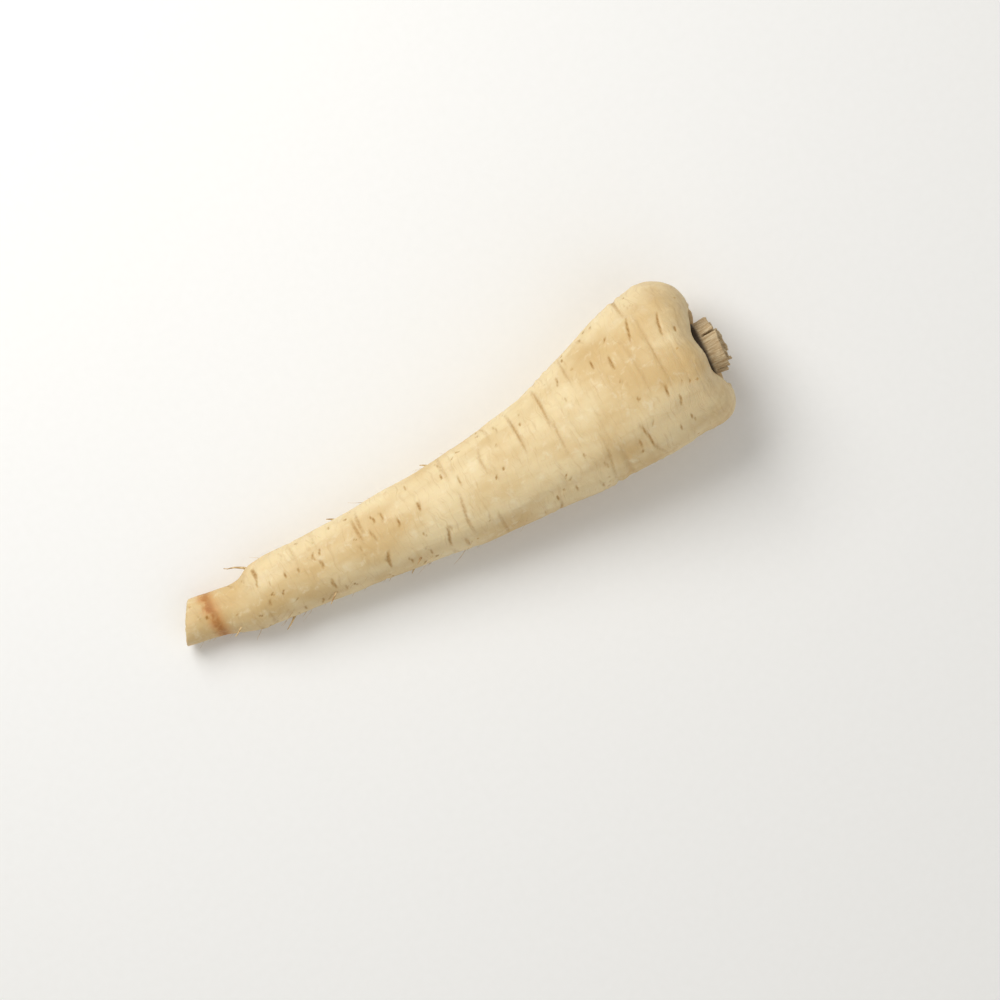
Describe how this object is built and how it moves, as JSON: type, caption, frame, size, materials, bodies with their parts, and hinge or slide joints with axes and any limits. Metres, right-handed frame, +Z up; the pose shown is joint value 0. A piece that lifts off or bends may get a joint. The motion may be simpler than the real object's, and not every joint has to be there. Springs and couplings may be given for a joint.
{
  "type": "parsnip",
  "caption": "Topped and washed parsnip lying on its side: a tapering cream root with a sunken crown, cut leaf-stalk bases, cross grooves, fine rootlets and a blunt tip.",
  "frame": {"origin": "centre of the bounding box's underside, on the surface that the parsnip lies on", "axes": "+X from the tip towards the crown, along the straight line between the root's two ends; +Z up"},
  "size_m": [0.1788, 0.0476, 0.0441],
  "materials": {
    "root_skin": "satin",
    "stalk_bases": "matte"
  },
  "bodies": {
    "root": {"parsnip_root": "root_skin", "leaf_stalk_bases": "stalk_bases"}
  },
  "joints": []
}
